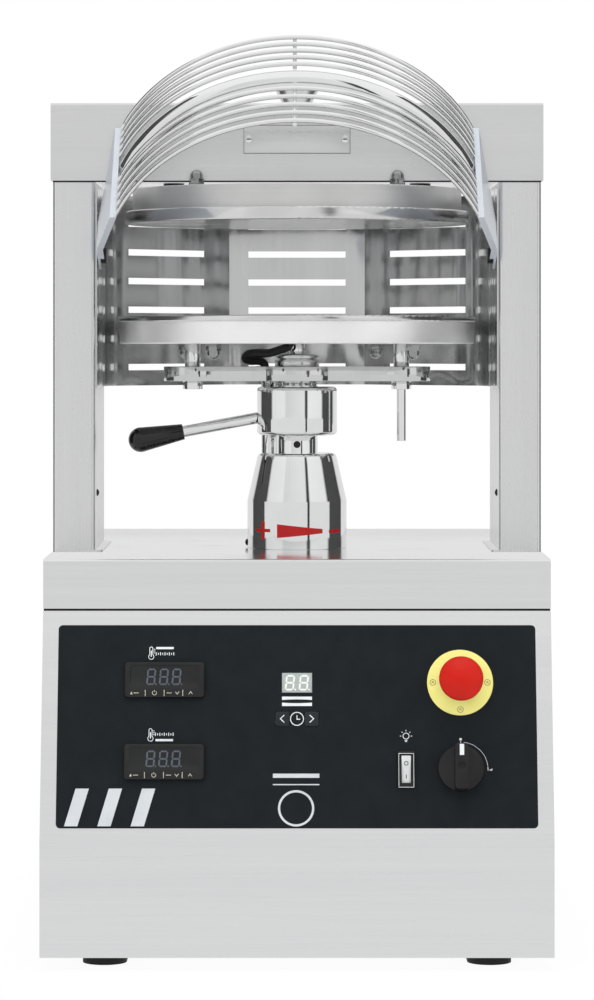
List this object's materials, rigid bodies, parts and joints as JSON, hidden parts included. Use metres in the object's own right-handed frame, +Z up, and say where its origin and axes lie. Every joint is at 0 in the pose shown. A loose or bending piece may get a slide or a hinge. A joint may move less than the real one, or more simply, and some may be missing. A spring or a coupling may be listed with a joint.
{
  "type": "pizza dough press",
  "caption": "Countertop heated dough press: a screw-lifted lower plate rises against a fixed upper plate between two uprights, with a swing-up wire guard and a sloped control panel.",
  "frame": {"origin": "on the floor plane, under the middle of the machine's outline with the guard swung up", "axes": "+X to the operator's right, +Y away from the operator, +Z up"},
  "size_m": [0.4664, 0.6516, 0.8502],
  "materials": {
    "satin_steel": "satin",
    "tray_steel": "semi-mirror",
    "guard_sheet": "satin",
    "polished_steel": "polished",
    "dark_fastener": "black oxide",
    "black_rubber": "matt",
    "black_plastic": "moulded",
    "fascia_black": "printed film",
    "display_black": "gloss",
    "timer_grey": "display window",
    "stop_yellow": "printed",
    "stop_red": "moulded",
    "rocker_white": "moulded",
    "bronze": "machined",
    "motor_grey": "satin",
    "heater_sheath": "heat-tinted"
  },
  "bodies": {
    "frame": {"base_plate": "satin_steel", "rubber_feet": "black_rubber", "cabinet_shell": "satin_steel", "back_panel": "satin_steel", "cable_gland": "black_plastic", "case_screws": "dark_fastener", "top_tray": "tray_steel", "left_upright": "satin_steel", "right_upright": "satin_steel", "cross_beam": "satin_steel", "header_cover": "satin_steel", "name_plate": "satin_steel", "crown_nut": "polished_steel", "rear_guard": "guard_sheet", "guard_pivot_bolts": "dark_fastener", "upper_spacers": "black_rubber", "upper_plate_cover": "satin_steel", "upper_press_disc": "polished_steel", "upper_heater": "heater_sheath", "upper_cap_nuts": "polished_steel", "bell_housing": "polished_steel", "ram_bush": "bronze", "rod_bush": "bronze", "gear_motor": "motor_grey", "control_fascia": "fascia_black", "upper_thermostat": "display_black", "lower_thermostat": "display_black", "timer_module": "timer_grey", "stop_body": "black_plastic", "stop_disc": "stop_yellow", "rocker_frame": "black_plastic", "main_switch_body": "black_plastic"},
    "ram": {"ram": "polished_steel", "lift_nut": "bronze"},
    "plate_carriage": {"spider": "satin_steel", "thrust_bearing": "polished_steel", "ring_nut": "polished_steel", "plate_posts": "polished_steel", "post_fasteners": "polished_steel", "anti_rotation_rod": "polished_steel", "lower_plate_body": "satin_steel", "lower_press_disc": "polished_steel", "lower_heater": "heater_sheath", "lower_cap_nuts": "polished_steel", "heater_lead": "black_rubber"},
    "collar": {"adjusting_collar": "polished_steel", "lever_rod": "polished_steel", "lever_grip": "black_plastic"},
    "lift_screw": {"lift_screw": "polished_steel"},
    "guard": {"guard_left_cheek": "guard_sheet", "guard_right_cheek": "guard_sheet", "guard_tube": "polished_steel", "guard_wires": "polished_steel"},
    "stop_plunger": {"stop_plunger": "stop_red"},
    "stop_head": {"stop_head": "stop_red"},
    "main_knob": {"main_knob": "black_plastic"},
    "light_rocker": {"light_rocker": "rocker_white"},
    "timer_down_key": {"timer_down_key": "fascia_black"},
    "timer_up_key": {"timer_up_key": "fascia_black"}
  },
  "joints": [
    {"name": "plate_lift", "type": "slide", "parent": "frame", "child": "ram", "axis": [0, 0, 1], "range_m": [0, 0.084]},
    {"name": "screw_turn", "type": "hinge", "parent": "frame", "child": "lift_screw", "pos_m": [0, -0.04823, 0.5], "axis": [0, 0, 1], "range_deg": [0, 1520]},
    {"name": "plate_adjust", "type": "slide", "parent": "ram", "child": "plate_carriage", "axis": [0, 0, 1], "range_m": [0, 0.004]},
    {"name": "collar_turn", "type": "hinge", "parent": "plate_carriage", "child": "collar", "pos_m": [0, -0.04823, 0.5], "axis": [0, 0, 1], "range_deg": [0, 121]},
    {"name": "guard_swing", "type": "hinge", "parent": "frame", "child": "guard", "pos_m": [0, -0.11423, 0.65], "axis": [1, 0, 0], "range_deg": [0, 50]},
    {"name": "stop_press", "type": "slide", "parent": "frame", "child": "stop_plunger", "axis": [0, -0.9715, 0.237], "range_m": [-0.004, 0], "stiffness_N_per_m": 900},
    {"name": "stop_twist", "type": "hinge", "parent": "stop_plunger", "child": "stop_head", "pos_m": [0.1483, -0.26592, 0.25768], "axis": [0, 0.9715, -0.237], "range_deg": [0, 30], "stiffness_Nm_per_rad": 0.2},
    {"name": "main_switch_turn", "type": "hinge", "parent": "frame", "child": "main_knob", "pos_m": [0.1483, -0.28459, 0.18113], "axis": [0, 0.9715, -0.237], "range_deg": [0, 90]},
    {"name": "light_rocker_tip", "type": "hinge", "parent": "frame", "child": "light_rocker", "pos_m": [0.0988, -0.28459, 0.18113], "axis": [1, 0, 0], "range_deg": [-14, 0]},
    {"name": "timer_down_press", "type": "slide", "parent": "frame", "child": "timer_down_key", "axis": [0, -0.9715, 0.237], "range_m": [-0.0006, 0], "stiffness_N_per_m": 600},
    {"name": "timer_up_press", "type": "slide", "parent": "frame", "child": "timer_up_key", "axis": [0, -0.9715, 0.237], "range_m": [-0.0006, 0], "stiffness_N_per_m": 600}
  ],
  "couplings": [
    {"joint": "screw_turn", "follows": "plate_lift", "rad_per_m": 314.16},
    {"joint": "collar_turn", "follows": "plate_adjust", "rad_per_m": 523.6}
  ]
}
